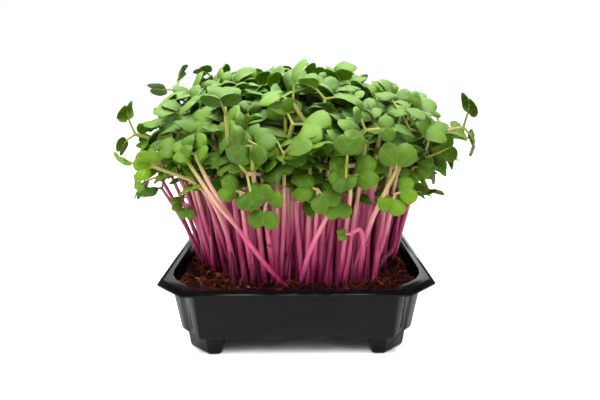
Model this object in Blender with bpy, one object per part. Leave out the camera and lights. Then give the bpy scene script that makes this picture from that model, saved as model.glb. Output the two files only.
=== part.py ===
"""Radish microgreens with pink stems, growing out of coir in a black plastic tray.

Metres, +Z up. The origin is on the surface that the tray stands on, below the middle of the tray.
The seedlings stand in tufts, because each tuft is one solid for its pink stems and one for its green tops.
"""

import math
import random

import bmesh
import bpy
from mathutils import Matrix, Vector
from mathutils.bvhtree import BVHTree

# Tray: outer size over the lip, heights above the surface it stands on, and its sheet.
TRAY_WIDTH = 0.118
TRAY_DEPTH = 0.130
LAND_TOP = 0.0307
LIP_EDGE = 0.0288
LIP_THICK = 0.0008
SHEET = 0.0008
FLOOR_BOTTOM = 0.0078
FLOOR_TOP = 0.0105
SKIRT_RUN = 0.0023
SHOULDER_INSET = 0.0032
SHOULDER_DROP = 0.0030
WALL_INSET_TOP = (0.0060, 0.0034)
WALL_INSET_BOTTOM = (0.0094, 0.0068)
FLOOR_ROUND = 0.0016
LIP_CUT = (0.0128, 0.0160)
WALL_CUT_TOP = (0.0114, 0.0158)
WALL_CUT = (0.0092, 0.0128)
OPENING_INSET = 0.0041
OPENING_ROUND = (0.0260, 0.0300)
FLUTE_DEPTH = 0.0008

# Four hollow feet below the floor, and the shallow grooves between them.
FOOT_INSET = (0.0036, 0.0028)
FOOT_SIZE = (0.0148, 0.0165)
FOOT_CUT = (0.0086, 0.0095)
FOOT_TAPER = 0.0008
FOOT_ROUND = 0.0020
FOOT_HEEL_ROUND = 0.0025
GROOVE_PITCH = 0.0174
GROOVE_WIDTH = 0.0135
GROOVE_DEPTH = 0.0019

# Coir filling.
GAP = 0.0003
COIR_TOP = 0.0288
COIR_EDGE_TOP = 0.0262
COIR_BUMP = 0.0017
COIR_RINGS = (0.88, 0.68, 0.46, 0.22)
HOLE_RADIUS = 0.0033
HOLE_DEPTH = 0.0090

# The stand of seedlings: sown area, tufts and stems.
SOWN_HALF = (0.0500, 0.0500)
SOWN_POWER = 1.6
TUFTS = 24
STEMS_IN_TUFT = 3
STEM_SIDES = 4
STEM_RADIUS_FOOT = 0.00140
STEM_RADIUS_WAIST = 0.00115
STEM_RADIUS_HEAD = 0.00090
TUFT_SPREAD_FOOT = 0.0010
TUFT_SPREAD_MIDDLE = 0.0019
TUFT_SPREAD_WAIST = 0.00085
TUFT_TURN = math.radians(35)
WAIST_SHARE = 0.58
WAIST_GAP = 0.0005
HEAD_SPREAD = 0.0105
FLARE = (1.38, 1.24)
CROWN_TOP = 0.1060
CROWN_FALL = 0.0070
CROWN_SCATTER = 0.0250
CROWN_TILT = 0.09

# Seed leaves.
LEAF_WIDTH = 0.0150
LEAF_THICK = 0.0007
PETIOLE_LENGTH = 0.0068
PETIOLE_HALF = 0.00060
LEAF_MIDDLE = 0.26
NOTCH_DEPTH = 0.13
NOTCH_WIDTH = 0.36
LEAF_ANGLES = tuple(math.radians(degrees) for degrees in (30, 72, 122))
LEAF_SIDES = 10
CLEARANCE = 0.0006
TRIES = 480
STAND_HALF = (0.0840, 0.0740)
STAND_TOP = 0.1225
OUTWARD_LEAN = 0.25

# Leading seedlings, chosen by eye from the outline of the stand: head x, y, z and heading of the leaf pair.
LEADERS = (
    (0.0735, -0.016, 0.0960, 15),
    (0.0620, 0.002, 0.0860, 60),
    (-0.0735, -0.002, 0.0900, 165),
    (-0.0600, -0.014, 0.0840, 150),
    (-0.0620, 0.012, 0.1050, 20),
    (-0.0500, -0.034, 0.0800, 160),
    (0.0180, 0.004, 0.1165, 5),
    (-0.0480, 0.014, 0.1080, 35),
    (0.0500, -0.028, 0.0770, 80),
    (0.0280, -0.0540, 0.0780, 95),
    (-0.0200, -0.0560, 0.0780, 30),
    (-0.0200, -0.0540, 0.0900, 170),
    (0.0280, -0.0560, 0.0900, 5),
    (-0.0290, 0.0540, 0.0920, 80),
    (0.0120, 0.0570, 0.0850, 100),
)
SEED = 11

COLOURS = {
    "tray": ((0.012, 0.012, 0.013, 1), 0.22),
    "coir": ((0.075, 0.022, 0.009, 1), 0.95),
    "stem": ((0.62, 0.13, 0.33, 1), 0.45),
    "leaf": ((0.10, 0.27, 0.045, 1), 0.50),
}


def clear_scene():
    for old in list(bpy.data.objects):
        bpy.data.objects.remove(old, do_unlink=True)


def new_collection(name):
    made = bpy.data.collections.new(name)
    bpy.context.scene.collection.children.link(made)
    return made


def finish_material(name):
    colour, roughness = COLOURS[name]
    made = bpy.data.materials.new(name)
    made.use_nodes = True
    shader = made.node_tree.nodes["Principled BSDF"]
    shader.inputs["Base Color"].default_value = colour
    shader.inputs["Roughness"].default_value = roughness
    shader.inputs["Metallic"].default_value = 0.0
    return made


def object_from(bm, name, collection):
    """A bmesh made into an object, with its faces pointing out."""
    bmesh.ops.recalc_face_normals(bm, faces=bm.faces)
    mesh = bpy.data.meshes.new(name)
    bm.to_mesh(mesh)
    bm.free()
    made = bpy.data.objects.new(name, mesh)
    collection.objects.link(made)
    return made


def move_active(collection):
    """Moves the object just added to the collection given."""
    made = bpy.context.object
    for old in list(made.users_collection):
        old.objects.unlink(made)
    collection.objects.link(made)


def apply_boolean(target, operation, tools):
    """Joins to target, or cuts from it, every object in the tools collection, which is then emptied."""
    modifier = target.modifiers.new(operation, "BOOLEAN")
    modifier.operation = operation
    modifier.operand_type = "COLLECTION"
    modifier.collection = tools
    modifier.solver = "EXACT"
    bpy.context.view_layer.update()
    graph = bpy.context.evaluated_depsgraph_get()
    made = bpy.data.meshes.new_from_object(target.evaluated_get(graph))
    target.modifiers.clear()
    target.data = made
    for tool in list(tools.objects):
        bpy.data.objects.remove(tool, do_unlink=True)


# Tray outlines. Each has the same number of points, so that any two can be joined by faces.

CORNER_STATIONS = (0.0, 0.30, 0.38, 0.50, 0.62, 0.70, 1.0)
FLUTE_SHAPE = (0.0, 0.0, 0.75, 1.0, 0.75, 0.0, 0.0)


def all_round(corner, z):
    """The corner at +X +Y, mirrored to the other three, as one closed outline at height z."""
    back = corner[::-1]
    points = corner + [(-x, y) for x, y in back]
    points += [(-x, -y) for x, y in points]
    return [Vector((x, y, z)) for x, y in points]


def inwards(inset, more):
    """The inset in x and in y, moved in by the same amount more."""
    return inset[0] + more, inset[1] + more


def cut_outline(inset, cut, z, flute=0.0):
    """A rectangle with its corners cut off; flute presses a shallow channel into each cut."""
    half_x = TRAY_WIDTH / 2 - inset[0]
    half_y = TRAY_DEPTH / 2 - inset[1]
    length = math.hypot(*cut)
    corner = []
    for along, depth in zip(CORNER_STATIONS, FLUTE_SHAPE):
        x = half_x - along * cut[0] - flute * depth * cut[1] / length
        y = half_y - (1 - along) * cut[1] - flute * depth * cut[0] / length
        corner.append((x, y))
    return all_round(corner, z)


def round_outline(inset, radii, z):
    """A rectangle with elliptical corners."""
    centre_x = TRAY_WIDTH / 2 - inset - radii[0]
    centre_y = TRAY_DEPTH / 2 - inset - radii[1]
    steps = len(CORNER_STATIONS) - 1
    turns = [math.pi / 2 * step / steps for step in range(steps + 1)]
    corner = [(centre_x + radii[0] * math.cos(a), centre_y + radii[1] * math.sin(a)) for a in turns]
    return all_round(corner, z)


def loft(name, outlines, collection):
    """A closed solid whose skin runs from the first outline to the last, with both of those capped."""
    bm = bmesh.new()
    rows = [[bm.verts.new(point) for point in outline] for outline in outlines]
    for lower, upper in zip(rows, rows[1:]):
        for i in range(len(lower)):
            j = (i + 1) % len(lower)
            bm.faces.new((lower[i], lower[j], upper[j], upper[i]))
    bm.faces.new(rows[0][::-1])
    bm.faces.new(rows[-1])
    return object_from(bm, name, collection)


def foot_loft(name, grow, bottom, top, collection):
    """One foot at the corner +X +Y, grown by grow on every side: cut at the outer corner, round inside."""
    far_x = TRAY_WIDTH / 2 - WALL_INSET_BOTTOM[0] - FOOT_INSET[0]
    far_y = TRAY_DEPTH / 2 - WALL_INSET_BOTTOM[1] - FOOT_INSET[1]
    levels = (
        (bottom, -FOOT_ROUND),
        (bottom + FOOT_ROUND * 0.3, -FOOT_ROUND * 0.3),
        (bottom + FOOT_ROUND, 0.0),
        (top, FOOT_TAPER),
    )
    outlines = []
    for z, shrink in levels:
        high_x = far_x + grow + shrink
        high_y = far_y + grow + shrink
        low_x = far_x - FOOT_SIZE[0] - grow - shrink
        low_y = far_y - FOOT_SIZE[1] - grow - shrink
        heel = FOOT_HEEL_ROUND + shrink
        points = [(high_x, high_y - FOOT_CUT[1]), (high_x - FOOT_CUT[0], high_y)]
        rounds = (
            (low_x + heel, high_y - heel, 90),
            (low_x + heel, low_y + heel, 180),
            (high_x - heel, low_y + heel, 270),
        )
        for corner_x, corner_y, start in rounds:
            for degrees in (start, start + 45, start + 90):
                turn = math.radians(degrees)
                points.append((corner_x + heel * math.cos(turn), corner_y + heel * math.sin(turn)))
        outlines.append([Vector((x, y, z)) for x, y in points])
    return loft(name, outlines, collection)


def mirrored_copies(source, collection):
    """The piece at the corner +X +Y, repeated at the other three corners."""
    for scale in ((-1, 1), (-1, -1), (1, -1)):
        copy = source.copy()
        copy.data = source.data.copy()
        copy.data.transform(Matrix.Diagonal((scale[0], scale[1], 1, 1)))
        if scale[0] * scale[1] < 0:
            copy.data.flip_normals()
        collection.objects.link(copy)


def make_tray(collection, tools):
    """A thin tub with a land round its opening, a lip that turns down, four feet and a grooved floor."""
    under_land = LAND_TOP - SHEET
    wall_top = under_land - SHOULDER_DROP
    easing = FLOOR_ROUND * 0.3
    lip = (0.0, 0.0)
    shoulder = (SHOULDER_INSET, SHOULDER_INSET)
    inside_foot = inwards(WALL_INSET_BOTTOM, SHEET)
    inside_top = inwards(WALL_INSET_TOP, SHEET)
    outlines = [
        cut_outline(inwards(WALL_INSET_BOTTOM, FLOOR_ROUND), WALL_CUT, FLOOR_BOTTOM, FLUTE_DEPTH),
        cut_outline(inwards(WALL_INSET_BOTTOM, easing), WALL_CUT, FLOOR_BOTTOM + easing, FLUTE_DEPTH),
        cut_outline(WALL_INSET_BOTTOM, WALL_CUT, FLOOR_BOTTOM + FLOOR_ROUND, FLUTE_DEPTH),
        cut_outline(WALL_INSET_TOP, WALL_CUT_TOP, wall_top, FLUTE_DEPTH),
        cut_outline(shoulder, LIP_CUT, under_land),
        cut_outline(inwards(lip, SKIRT_RUN + SHEET), LIP_CUT, under_land),
        cut_outline(inwards(lip, SHEET), LIP_CUT, LIP_EDGE),
        cut_outline(lip, LIP_CUT, LIP_EDGE),
        cut_outline(lip, LIP_CUT, LIP_EDGE + LIP_THICK),
        cut_outline(inwards(lip, SKIRT_RUN), LIP_CUT, LAND_TOP),
        round_outline(OPENING_INSET, OPENING_ROUND, LAND_TOP),
        round_outline(OPENING_INSET, OPENING_ROUND, under_land),
        cut_outline(inwards(shoulder, SHEET), LIP_CUT, under_land - GAP),
        cut_outline(inside_top, WALL_CUT_TOP, wall_top - GAP, FLUTE_DEPTH),
        cut_outline(inside_foot, WALL_CUT, FLOOR_TOP + FLOOR_ROUND, FLUTE_DEPTH),
        cut_outline(inwards(inside_foot, FLOOR_ROUND), WALL_CUT, FLOOR_TOP, FLUTE_DEPTH),
    ]
    tray = loft("tray", outlines, collection)
    radius = (GROOVE_WIDTH**2 / 4 + GROOVE_DEPTH**2) / (2 * GROOVE_DEPTH)
    for place in (-1, 0, 1):
        bpy.ops.mesh.primitive_cylinder_add(
            vertices=32,
            radius=radius,
            depth=1.2 * TRAY_DEPTH,
            location=(place * GROOVE_PITCH, 0, FLOOR_BOTTOM + GROOVE_DEPTH - radius),
            rotation=(math.pi / 2, 0, 0),
        )
        move_active(tools)
    apply_boolean(tray, "DIFFERENCE", tools)
    foot = foot_loft("foot", 0.0, 0.0, FLOOR_BOTTOM + SHEET, tools)
    mirrored_copies(foot, tools)
    apply_boolean(tray, "UNION", tools)
    hollow = foot_loft("foot_hollow", -SHEET, SHEET, FLOOR_TOP + SHEET, tools)
    mirrored_copies(hollow, tools)
    apply_boolean(tray, "DIFFERENCE", tools)
    tray.data.materials.append(finish_material("tray"))
    return tray


# The stand of seedlings.

def sown_radius(x, y):
    """0 in the middle of the sown area and 1 on its edge, which is a rounded diamond."""
    share = (abs(x) / SOWN_HALF[0]) ** SOWN_POWER + (abs(y) / SOWN_HALF[1]) ** SOWN_POWER
    return share ** (1 / SOWN_POWER)


def tuft_feet():
    """Evenly spread feet: each is a golden angle on from the last, and further out."""
    feet = []
    for i in range(TUFTS):
        turn = i * math.pi * (3 - math.sqrt(5))
        x, y = math.cos(turn), math.sin(turn)
        reach = math.sqrt((i + 0.5) / TUFTS) * 0.96 / sown_radius(x, y)
        feet.append(Vector((x * reach, y * reach, 0)))
    return feet


def crown_height(foot, rng):
    """Height of a seedling's head: a dome, ragged towards its edge."""
    out = sown_radius(foot.x, foot.y)
    top = CROWN_TOP - CROWN_TILT * max(0.0, foot.x)
    return top - CROWN_FALL * out**3 - CROWN_SCATTER * out**2 * rng.random()


def bezier(a, b, c, t):
    return a * (1 - t) ** 2 + b * 2 * t * (1 - t) + c * t**2


class Shape:
    """The middle surface of a leaf or the axis of a stem, with what it needs to be kept clear of others."""

    def __init__(self, points, faces, half, node):
        self.tree = BVHTree.FromPolygons(points, faces)
        self.half = half
        self.node = node
        self.samples = list(points)
        for face in faces:
            corners = [points[i] for i in face]
            self.samples.append(sum(corners, Vector()) / len(corners))
            self.samples += [(corners[i] + corners[i - 1]) / 2 for i in range(len(corners))]
        self.middle = sum(points, Vector()) / len(points)
        self.reach = max((point - self.middle).length for point in points) + half

    def clear_of(self, other):
        room = self.half + other.half + CLEARANCE
        if (self.middle - other.middle).length > self.reach + other.reach + room:
            return True
        if self.tree.overlap(other.tree):
            return False
        for one, two in ((self, other), (other, self)):
            if any(two.tree.find_nearest(point, room)[0] for point in one.samples):
                return False
        return True


def stem_shape(path, radius, node):
    """A stem as a thin three-sided sleeve round its axis, sampled closely along it."""
    fine = []
    for a, b in zip(path, path[1:]):
        steps = max(1, math.ceil((b - a).length / 0.003))
        fine += [a.lerp(b, i / steps) for i in range(steps)]
    fine.append(path[-1])
    ring = [Vector((math.cos(a), math.sin(a), 0)) * 0.0001 for a in (0, 2.1, 4.2)]
    points = [point + offset for point in fine for offset in ring]
    faces = []
    for i in range(len(fine) - 1):
        for j in range(3):
            k = (j + 1) % 3
            faces.append((3 * i + j, 3 * i + k, 3 * i + 3 + k, 3 * i + 3 + j))
    return Shape(points, faces, radius, node)


def leaf_points(width, petiole, sag, droop, fold):
    """Middle point and outline of a seed leaf along +X from the stem: kidney-shaped, with a notched tip."""
    centre = Vector((petiole + LEAF_MIDDLE * width, 0, 0))
    side = []
    for angle in (0.0,) + LEAF_ANGLES:
        out = 0.42 - 0.10 * math.cos(2 * angle) - NOTCH_DEPTH * math.exp(-((angle / NOTCH_WIDTH) ** 2))
        side.append(centre + Vector((math.cos(angle), math.sin(angle), 0)) * out * width)
    side.append(Vector((petiole, PETIOLE_HALF * 1.3, 0)))
    foot = Vector((-0.4 * PETIOLE_HALF, 0, 0))
    points = [centre] + side + [foot] + [Vector((p.x, -p.y, 0)) for p in side[:0:-1]]
    for point in points:
        past = max(0.0, point.x - petiole) / width
        point.z = (fold * abs(point.y / width) * min(1.0, 4 * past) - sag * past - droop * past**2) * width
    return points


def leaf_faces():
    """The fan of faces from the middle point to the outline."""
    return [(0, 1 + i, 1 + (i + 1) % LEAF_SIDES) for i in range(LEAF_SIDES)]


def leaf_pair(head, up, heading, rng, width):
    """The two opposite leaves of a seedling, each as its points in place; the stem's head points up."""
    pair = []
    lean = Vector((0, 0, 1)).rotation_difference(up).to_matrix().to_4x4()
    for side in (0, math.pi):
        rise = math.radians(rng.uniform(8, 58))
        sag = rng.uniform(-0.1, 0.6)
        droop = rng.uniform(0.0, 0.7)
        fold = rng.uniform(-0.30, 0.35)
        roll = math.radians(rng.uniform(-30, 30))
        turn = heading + side + math.radians(rng.uniform(-18, 18))
        petiole = PETIOLE_LENGTH * rng.uniform(0.75, 1.2)
        points = leaf_points(width * rng.uniform(0.76, 1.12), petiole, sag, droop, fold)
        spin = Matrix.Rotation(turn, 4, "Z") @ Matrix.Rotation(-rise, 4, "Y") @ Matrix.Rotation(roll, 4, "X")
        place = Matrix.Translation(head) @ lean @ spin
        pair.append([place @ point for point in points])
    return pair


def tube(name, path, radii, tools):
    """A stem: a curve with a bevel, closed at both ends, made a mesh."""
    curve = bpy.data.curves.new(name, "CURVE")
    curve.dimensions = "3D"
    curve.bevel_depth = 1.0
    curve.bevel_resolution = (STEM_SIDES - 4) // 2
    curve.use_fill_caps = True
    spline = curve.splines.new("POLY")
    spline.points.add(len(path) - 1)
    for point, place, radius in zip(spline.points, path, radii):
        point.co = (*place, 1)
        point.radius = radius
    guide = bpy.data.objects.new(name, curve)
    tools.objects.link(guide)
    bpy.context.view_layer.update()
    graph = bpy.context.evaluated_depsgraph_get()
    mesh = bpy.data.meshes.new_from_object(guide.evaluated_get(graph))
    bpy.data.objects.remove(guide, do_unlink=True)
    bm = bmesh.new()
    bm.from_mesh(mesh)
    bmesh.ops.remove_doubles(bm, verts=bm.verts, dist=0.00002)
    return object_from(bm, name, tools)


def blade(name, points, tools):
    """A leaf blade: a disc whose rim is drawn out to the leaf's outline, then thickened."""
    bm = bmesh.new()
    bmesh.ops.create_circle(bm, cap_ends=True, cap_tris=True, segments=LEAF_SIDES, radius=1.0)
    rim = [vert for vert in bm.verts if vert.co.length > 0.5]
    rim.sort(key=lambda vert: math.atan2(vert.co.y, vert.co.x) % math.tau)
    hub = next(vert for vert in bm.verts if vert.co.length < 0.5)
    hub.co = points[0]
    for vert, point in zip(rim, points[1:]):
        vert.co = point
    bmesh.ops.recalc_face_normals(bm, faces=bm.faces)
    bmesh.ops.solidify(bm, geom=list(bm.faces), thickness=LEAF_THICK)
    return object_from(bm, name, tools)


class Tuft:
    """A few seedlings whose stems stand in one hole, touch at the waist and part above it."""

    def __init__(self, number, foot, rng):
        self.number = number
        self.foot = foot
        self.turn = rng.uniform(0, math.tau)
        flare = Vector((foot.x * FLARE[0], foot.y * FLARE[1], 0))
        self.crown = flare + Vector((rng.uniform(-1, 1), rng.uniform(-1, 1), 0)) * 0.002
        self.crown.z = crown_height(foot, rng)
        self.heads = []
        for k in range(STEMS_IN_TUFT):
            angle = self.turn + TUFT_TURN + k * math.tau / STEMS_IN_TUFT
            spread = Vector((math.cos(angle), math.sin(angle), 0)) * HEAD_SPREAD
            self.heads.append(self.crown + spread + Vector((0, 0, rng.uniform(-0.006, 0.005))))
        self.leaders = {}

    def axis(self, t):
        """The line that the tuft's stems grow along, from the coir at 0 to the crown at 1."""
        rise = self.crown.z - COIR_TOP
        start = Vector((self.foot.x, self.foot.y, COIR_TOP + 0.002))
        bend = start.lerp(self.crown, 0.22)
        bend.z = start.z + 0.5 * rise
        return bezier(start, bend, self.crown, t)

    def waist(self, k):
        """Where stem k changes from pink to green, and its direction there."""
        ahead = (self.axis(WAIST_SHARE + 0.02) - self.axis(WAIST_SHARE - 0.02)).normalized()
        angle = self.turn + TUFT_TURN + k * math.tau / STEMS_IN_TUFT
        out = Vector((math.cos(angle), math.sin(angle), 0)) * TUFT_SPREAD_WAIST
        out -= ahead * out.dot(ahead)
        return self.axis(WAIST_SHARE) + out, ahead

    def lower_path(self, k):
        """Axis of stem k from the bottom of its hole up to the waist."""
        root = Vector((self.foot.x, self.foot.y, COIR_TOP - HOLE_DEPTH + GAP))
        stations = (
            (root, TUFT_SPREAD_FOOT, 0.0),
            (self.axis(0.06), TUFT_SPREAD_FOOT * 1.3, 0.1),
            (self.axis(0.3), TUFT_SPREAD_MIDDLE, 0.6),
        )
        path = []
        for middle, spread, turned in stations:
            angle = self.turn + TUFT_TURN * turned + k * math.tau / STEMS_IN_TUFT
            path.append(middle + Vector((math.cos(angle), math.sin(angle), 0)) * spread)
        waist, ahead = self.waist(k)
        path.append(waist - ahead * (WAIST_GAP / 2 + 0.003))
        path.append(waist - ahead * WAIST_GAP / 2)
        return path

    def upper_path(self, k, head):
        """Axis of stem k from the waist to its head."""
        waist, ahead = self.waist(k)
        start = waist + ahead * WAIST_GAP / 2
        bend = start + ahead * (head - start).length * 0.5
        return [start, start + ahead * 0.003] + [bezier(start, bend, head, t) for t in (0.55, 1.0)]


def tapered(first, last, count):
    return [first + (last - first) * i / (count - 1) for i in range(count)]


def assign_leaders(tufts):
    """Each leading seedling takes the place of the free stem whose head is nearest."""
    for x, y, z, heading in LEADERS:
        head = Vector((x, y, z))
        free = [(t, k) for t in tufts for k in range(STEMS_IN_TUFT) if k not in t.leaders]
        tuft, k = min(free, key=lambda pair: (pair[0].heads[pair[1]] - head).length)
        tuft.leaders[k] = (head, math.radians(heading))


def stand_reach(pair):
    """How near the pair of leaves comes to the edge of the stand's box, which is at 1."""
    points = [point for leaf in pair for point in leaf]
    half_x, half_y = STAND_HALF
    return max(max(abs(p.x) / half_x, abs(p.y) / half_y, p.z / STAND_TOP) for p in points)


def candidate(tuft, k, attempt, rng):
    """One way for seedling k of the tuft to grow above its waist. Later tries stray further."""
    share = attempt / TRIES
    stray = Vector((rng.uniform(-1, 1), rng.uniform(-1, 1), rng.uniform(-1, 1)))
    if k in tuft.leaders:
        head, heading = tuft.leaders[k]
        head = head + stray * (0.001 + 0.010 * share)
        heading += math.radians(rng.uniform(-1, 1)) * 90 * share
    else:
        head = tuft.heads[k] + stray * (0.005 + 0.009 * share)
        heading = rng.uniform(0, math.tau)
    path = tuft.upper_path(k, head)
    outward = Vector((head.x / STAND_HALF[0], head.y / STAND_HALF[1], 0))
    up = (path[-1] - path[-2]).normalized() + outward * OUTWARD_LEAN
    width = LEAF_WIDTH * (1 - 0.35 * max(0.0, share - 0.3))
    return path, leaf_pair(head, up, heading, rng, width)


def grow_seedlings(tufts, rng):
    """Chooses how every seedling grows, the leading ones first, so that they stay clear of one another."""
    order = [(tuft, k) for tuft in tufts for k in range(STEMS_IN_TUFT)]
    placed = [stem_shape(tuft.lower_path(k), STEM_RADIUS_FOOT, tuft.number) for tuft, k in order]
    chosen = {}
    order.sort(key=lambda pair: pair[1] not in pair[0].leaders)
    for tuft, k in order:
        best = 0.0
        for attempt in range(TRIES):
            path, pair = candidate(tuft, k, attempt, rng)
            reach = stand_reach(pair)
            if reach > 1 or reach < best:
                continue
            leaves = [Shape(points, leaf_faces(), LEAF_THICK / 2, tuft.number) for points in pair]
            stem = stem_shape(path, STEM_RADIUS_WAIST, tuft.number)
            others = [shape for shape in placed if shape.node != tuft.number]
            if not all(stem.clear_of(other) for other in others):
                continue
            if not all(leaf.clear_of(other) for leaf in leaves for other in placed):
                continue
            best = reach
            chosen[tuft.number, k] = (path, pair)
            shapes = leaves + [stem]
            if k not in tuft.leaders:
                break
        placed += shapes
    return chosen


def make_seedlings(tufts, chosen, collection, tools):
    """Two solids for each tuft: its pink stems, joined at foot and waist, and its green tops."""
    pink = finish_material("stem")
    green = finish_material("leaf")
    for tuft in tufts:
        label = f"{tuft.number + 1:02d}"
        for k in range(STEMS_IN_TUFT):
            path = tuft.lower_path(k)
            tube(f"low_{k}", path, tapered(STEM_RADIUS_FOOT, STEM_RADIUS_WAIST, len(path)), tools)
        join_all(f"stems_{label}", pink, collection, tools)
        for k in range(STEMS_IN_TUFT):
            path, pair = chosen[tuft.number, k]
            tube(f"top_{k}", path, tapered(STEM_RADIUS_WAIST, STEM_RADIUS_HEAD, len(path)), tools)
            for side, points in enumerate(pair):
                blade(f"blade_{k}_{side}", points, tools)
        join_all(f"leaves_{label}", green, collection, tools)


def keep_largest_shell(mesh):
    """Drops the loose scraps and fills the sealed hollows that fusing leaves."""
    bm = bmesh.new()
    bm.from_mesh(mesh)
    left = set(bm.verts)
    shells = []
    while left:
        shell = {left.pop()}
        front = list(shell)
        while front:
            for edge in front.pop().link_edges:
                for vert in edge.verts:
                    if vert in left:
                        left.discard(vert)
                        shell.add(vert)
                        front.append(vert)
        shells.append(shell)
    shells.sort(key=len, reverse=True)
    for shell in shells[1:]:
        bmesh.ops.delete(bm, geom=list(shell), context="VERTS")
    bm.to_mesh(mesh)
    bm.free()


def join_all(name, material, collection, tools):
    """One solid from every object in the tools collection."""
    first = tools.objects[0]
    tools.objects.unlink(first)
    first.name = name
    collection.objects.link(first)
    apply_boolean(first, "UNION", tools)
    keep_largest_shell(first.data)
    first.data.name = name
    first.data.materials.clear()
    first.data.materials.append(material)


def make_coir(tufts, collection, tools, rng):
    """Coir that fills the tray, mounded where the seed was sown, with a plain hole for each tuft."""
    wall_top = LAND_TOP - SHEET - SHOULDER_DROP
    wall_foot = FLOOR_TOP + FLOOR_ROUND
    rise = (COIR_EDGE_TOP - wall_foot) / (wall_top - GAP - wall_foot)
    foot = inwards(WALL_INSET_BOTTOM, SHEET + GAP)
    top = inwards(WALL_INSET_TOP, SHEET + GAP)
    edge = [low + (high - low) * rise for low, high in zip(foot, top)]
    edge_cut = [low + (high - low) * rise for low, high in zip(WALL_CUT, WALL_CUT_TOP)]
    outlines = [
        cut_outline(inwards(foot, FLOOR_ROUND), WALL_CUT, FLOOR_TOP + GAP, FLUTE_DEPTH),
        cut_outline(foot, WALL_CUT, FLOOR_TOP + GAP + FLOOR_ROUND, FLUTE_DEPTH),
        cut_outline(edge, edge_cut, COIR_EDGE_TOP, FLUTE_DEPTH),
    ]
    for share in COIR_RINGS:
        level = COIR_EDGE_TOP + (COIR_TOP - COIR_EDGE_TOP) * min(1.0, (1 - share) / 0.2)
        ring = []
        for i in range(len(outlines[0])):
            turn = math.tau * (i + 0.5) / len(outlines[0])
            across, along = math.cos(turn), math.sin(turn)
            reach = share / (across**4 + along**4) ** 0.25
            x = across * reach * (TRAY_WIDTH / 2 - edge[0])
            y = along * reach * (TRAY_DEPTH / 2 - edge[1])
            ring.append(Vector((x, y, level + rng.uniform(-1, 1) * COIR_BUMP)))
        outlines.append(ring)
    coir = loft("growing_medium", outlines, collection)
    for tuft in tufts:
        bpy.ops.mesh.primitive_cylinder_add(
            vertices=6,
            radius=HOLE_RADIUS,
            depth=2 * HOLE_DEPTH,
            location=(tuft.foot.x, tuft.foot.y, COIR_TOP),
        )
        move_active(tools)
    apply_boolean(coir, "DIFFERENCE", tools)
    coir.data.materials.append(finish_material("coir"))
    return coir


def main():
    clear_scene()
    parts = new_collection("microgreens_tray")
    tools = new_collection("tools")
    tools.hide_render = True
    rng = random.Random(SEED)
    make_tray(parts, tools)
    tufts = [Tuft(number, foot, rng) for number, foot in enumerate(tuft_feet())]
    assign_leaders(tufts)
    make_coir(tufts, parts, tools, random.Random(SEED + 1))
    chosen = grow_seedlings(tufts, rng)
    make_seedlings(tufts, chosen, parts, tools)


main()
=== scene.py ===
"""Radish microgreens in a black plastic tray: the finished look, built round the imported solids."""

import itertools
import math
import random
from dataclasses import dataclass

import bpy
from mathutils import Matrix, Vector, noise
from mathutils.bvhtree import BVHTree


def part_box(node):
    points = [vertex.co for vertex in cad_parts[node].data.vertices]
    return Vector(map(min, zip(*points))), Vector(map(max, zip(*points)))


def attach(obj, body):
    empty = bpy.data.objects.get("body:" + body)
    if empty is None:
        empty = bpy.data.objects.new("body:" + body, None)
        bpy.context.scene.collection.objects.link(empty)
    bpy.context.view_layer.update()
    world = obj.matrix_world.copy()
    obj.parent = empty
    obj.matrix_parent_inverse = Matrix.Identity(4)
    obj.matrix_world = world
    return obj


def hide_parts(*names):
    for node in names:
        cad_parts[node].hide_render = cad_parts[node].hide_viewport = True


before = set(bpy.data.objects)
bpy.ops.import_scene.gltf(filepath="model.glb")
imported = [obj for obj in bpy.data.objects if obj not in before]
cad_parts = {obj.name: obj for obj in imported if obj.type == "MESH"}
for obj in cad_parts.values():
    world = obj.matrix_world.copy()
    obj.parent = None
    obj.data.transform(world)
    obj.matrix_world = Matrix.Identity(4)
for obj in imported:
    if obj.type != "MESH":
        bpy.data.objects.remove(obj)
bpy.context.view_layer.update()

# The tray is one sheet of glossy black plastic, drawn down hot over a mould, so that every edge is a little
# round. Its lip turns down, its floor is grooved and it stands on four hollow feet. The solid's own skin is
# taken with a fine chamfer on its edges, and the plastic gets its faint orange peel and dust.

TRAY_CHAMFER = 0.0005
TRAY_MERGE = 0.00001
TRAY_FLAT_ANGLE = math.radians(0.6)
TRAY_SHARP_ANGLE = math.radians(24)
TRAY_SMOOTH_ANGLE = math.radians(32)
TRAY_ROUGHNESS = (0.09, 0.17)
TRAY_BLACK = (0.0022, 0.0023, 0.0024, 1)
TRAY_DUST = (0.0075, 0.0075, 0.0080, 1)


def select_only(piece):
    """Selects one piece, because an operator acts on all that is selected."""
    bpy.ops.object.select_all(action="DESELECT")
    piece.select_set(True)
    bpy.context.view_layer.objects.active = piece


def apply_modifiers(piece):
    select_only(piece)
    for modifier in list(piece.modifiers):
        bpy.ops.object.modifier_apply(modifier=modifier.name)


def new_piece(name, data):
    piece = bpy.data.objects.new(name, data)
    bpy.context.scene.collection.objects.link(piece)
    return piece


def settle(piece, node=None):
    """Each piece rides on the root body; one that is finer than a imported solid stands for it."""
    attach(piece, "root")
    if node:
        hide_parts(node)


def finish(name, **constants):
    """A material and its shader, with what is the same all over set on the shader's own sockets."""
    material = bpy.data.materials.new(name)
    material.use_nodes = True
    shader = material.node_tree.nodes["Principled BSDF"]
    for socket, value in constants.items():
        shader.inputs[socket.replace("_", " ")].default_value = value
    return material, shader


def add_node(tree, kind, inputs=None, **settings):
    """A node with its settings; each input is given a value or another node's output."""
    node = tree.nodes.new(kind)
    for setting, value in settings.items():
        setattr(node, setting, value)
    for socket, value in (inputs or {}).items():
        if isinstance(value, bpy.types.NodeSocket):
            tree.links.new(value, node.inputs[socket])
        else:
            node.inputs[socket].default_value = value
    return node


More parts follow.
